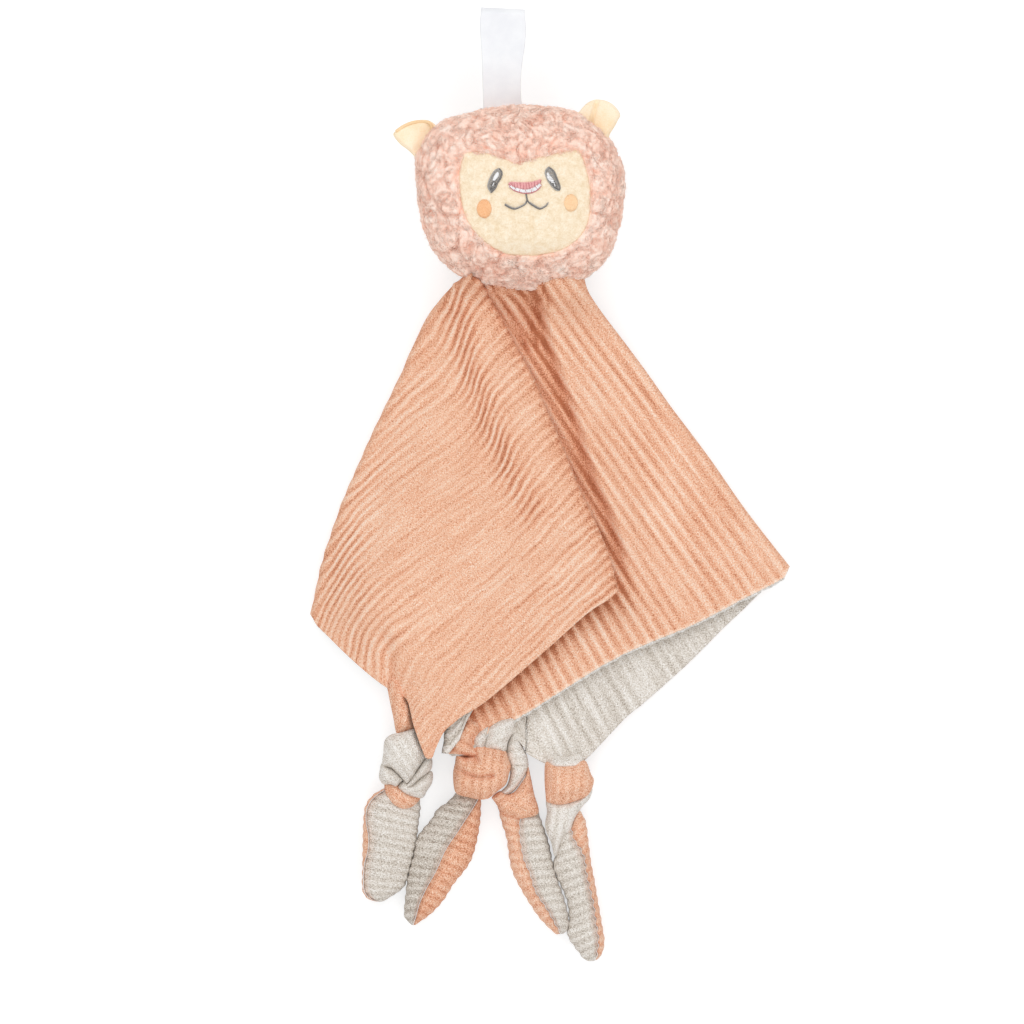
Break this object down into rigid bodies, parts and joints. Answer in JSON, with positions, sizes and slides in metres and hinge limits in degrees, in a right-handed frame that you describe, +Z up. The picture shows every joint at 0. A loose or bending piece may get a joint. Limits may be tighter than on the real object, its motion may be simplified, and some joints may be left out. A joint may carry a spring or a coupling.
{
  "type": "comfort blanket lovey",
  "caption": "Soft animal-headed comfort blanket lying folded flat, with four knotted corner tails, a stitched face and a ribbon loop on the head.",
  "frame": {"origin": "centre of the toy's footprint, on the surface it lies on", "axes": "+Z up out of the surface, the way the face looks; +Y from the tails to the head; +X to the right in the picture"},
  "size_m": [0.2008, 0.3992, 0.0485],
  "materials": {
    "coral_knit": "matte ribbed knit",
    "grey_knit": "matte ribbed knit",
    "fleece": "curly boucle pile",
    "fibre_fill": "loose polyester fibre",
    "cream_velour": "short velour pile",
    "dark_thread": "satin stitch embroidery",
    "pink_thread": "satin stitch embroidery",
    "deep_cheek": "satin stitch embroidery",
    "pale_cheek": "satin stitch embroidery",
    "ear_velour": "short velour pile",
    "white_tape": "woven satin-edged tape"
  },
  "bodies": {
    "blanket": {"blanket_coral_face": "coral_knit", "blanket_grey_lining": "grey_knit"},
    "neck": {"neck_stitching": "fleece"},
    "head": {"head_front_panel": "fleece", "head_back_panel": "fleece", "head_filling": "fibre_fill", "face_patch": "cream_velour", "left_eye": "dark_thread", "right_eye": "dark_thread", "nose": "pink_thread", "left_cheek": "deep_cheek", "right_cheek": "pale_cheek", "mouth": "dark_thread"},
    "left_ear": {"left_ear_front": "ear_velour", "left_ear_back": "ear_velour"},
    "right_ear": {"right_ear_front": "ear_velour", "right_ear_back": "ear_velour"},
    "ribbon": {"hanging_loop": "white_tape"},
    "knot_1": {"knot_1_strand": "coral_knit", "knot_1_wrap_1": "grey_knit", "knot_1_wrap_2": "grey_knit"},
    "tail_1": {"tail_1_coral": "coral_knit", "tail_1_grey": "grey_knit"},
    "knot_2": {"knot_2_strand": "grey_knit", "knot_2_wrap_1": "coral_knit", "knot_2_wrap_2": "coral_knit"},
    "tail_2": {"tail_2_coral": "coral_knit", "tail_2_grey": "grey_knit"},
    "knot_3": {"knot_3_strand": "grey_knit", "knot_3_wrap_1": "coral_knit"},
    "tail_3": {"tail_3_coral": "coral_knit", "tail_3_grey": "grey_knit"},
    "knot_4": {"knot_4_strand": "grey_knit", "knot_4_wrap_1": "coral_knit"},
    "tail_4": {"tail_4_coral": "coral_knit", "tail_4_grey": "grey_knit"}
  },
  "joints": [
    {"name": "neck_turn", "type": "hinge", "parent": "blanket", "child": "neck", "pos_m": [-0.01113, 0.07795, 0.0095], "axis": [0, 1, 0], "range_deg": [-20, 20]},
    {"name": "head_nod", "type": "hinge", "parent": "neck", "child": "head", "pos_m": [-0.01113, 0.08017, 0.0204], "axis": [1, 0, 0], "range_deg": [0, 45]},
    {"name": "left_ear_fold", "type": "hinge", "parent": "head", "child": "left_ear", "pos_m": [-0.05439, 0.14397, 0.0219], "axis": [0.5724, 0.82, 0], "range_deg": [-12, 12], "stiffness_Nm_per_rad": 0.02},
    {"name": "right_ear_fold", "type": "hinge", "parent": "head", "child": "right_ear", "pos_m": [0.02016, 0.15048, 0.0219], "axis": [0.7809, -0.6247, 0], "range_deg": [-20, 20], "stiffness_Nm_per_rad": 0.02},
    {"name": "ribbon_flip", "type": "hinge", "parent": "head", "child": "ribbon", "pos_m": [-0.01974, 0.15744, 0.0225], "axis": [1, 0, 0], "range_deg": [-25, 25], "stiffness_Nm_per_rad": 0.01},
    {"name": "knot_1_swing", "type": "hinge", "parent": "blanket", "child": "knot_1", "pos_m": [-0.0651, -0.09018, 0.008], "axis": [0, 0, 1], "range_deg": [-20, 0]},
    {"name": "tail_1_lift", "type": "hinge", "parent": "knot_1", "child": "tail_1", "pos_m": [-0.06216, -0.13378, 0.0046], "axis": [-1, 0, 0], "range_deg": [0, 40]},
    {"name": "knot_2_lift", "type": "hinge", "parent": "blanket", "child": "knot_2", "pos_m": [-0.03192, -0.10215, 0.013], "axis": [-1, 0, 0], "range_deg": [0, 22]},
    {"name": "tail_2_swing", "type": "hinge", "parent": "knot_2", "child": "tail_2", "pos_m": [-0.03276, -0.13176, 0.005], "axis": [0, 0, 1], "range_deg": [0, 8]},
    {"name": "knot_3_lift", "type": "hinge", "parent": "blanket", "child": "knot_3", "pos_m": [-0.01071, -0.11349, 0.006], "axis": [-1, 0, 0], "range_deg": [0, 30]},
    {"name": "tail_3_swing", "type": "hinge", "parent": "knot_3", "child": "tail_3", "pos_m": [-0.01218, -0.14016, 0.005], "axis": [0, 0, 1], "range_deg": [-6, 0]},
    {"name": "knot_4_swing", "type": "hinge", "parent": "blanket", "child": "knot_4", "pos_m": [0.00672, -0.11924, 0.007], "axis": [0, 0, 1], "range_deg": [0, 18]},
    {"name": "tail_4_lift", "type": "hinge", "parent": "knot_4", "child": "tail_4", "pos_m": [0.00798, -0.14226, 0.0046], "axis": [-1, 0, 0], "range_deg": [0, 40]}
  ]
}
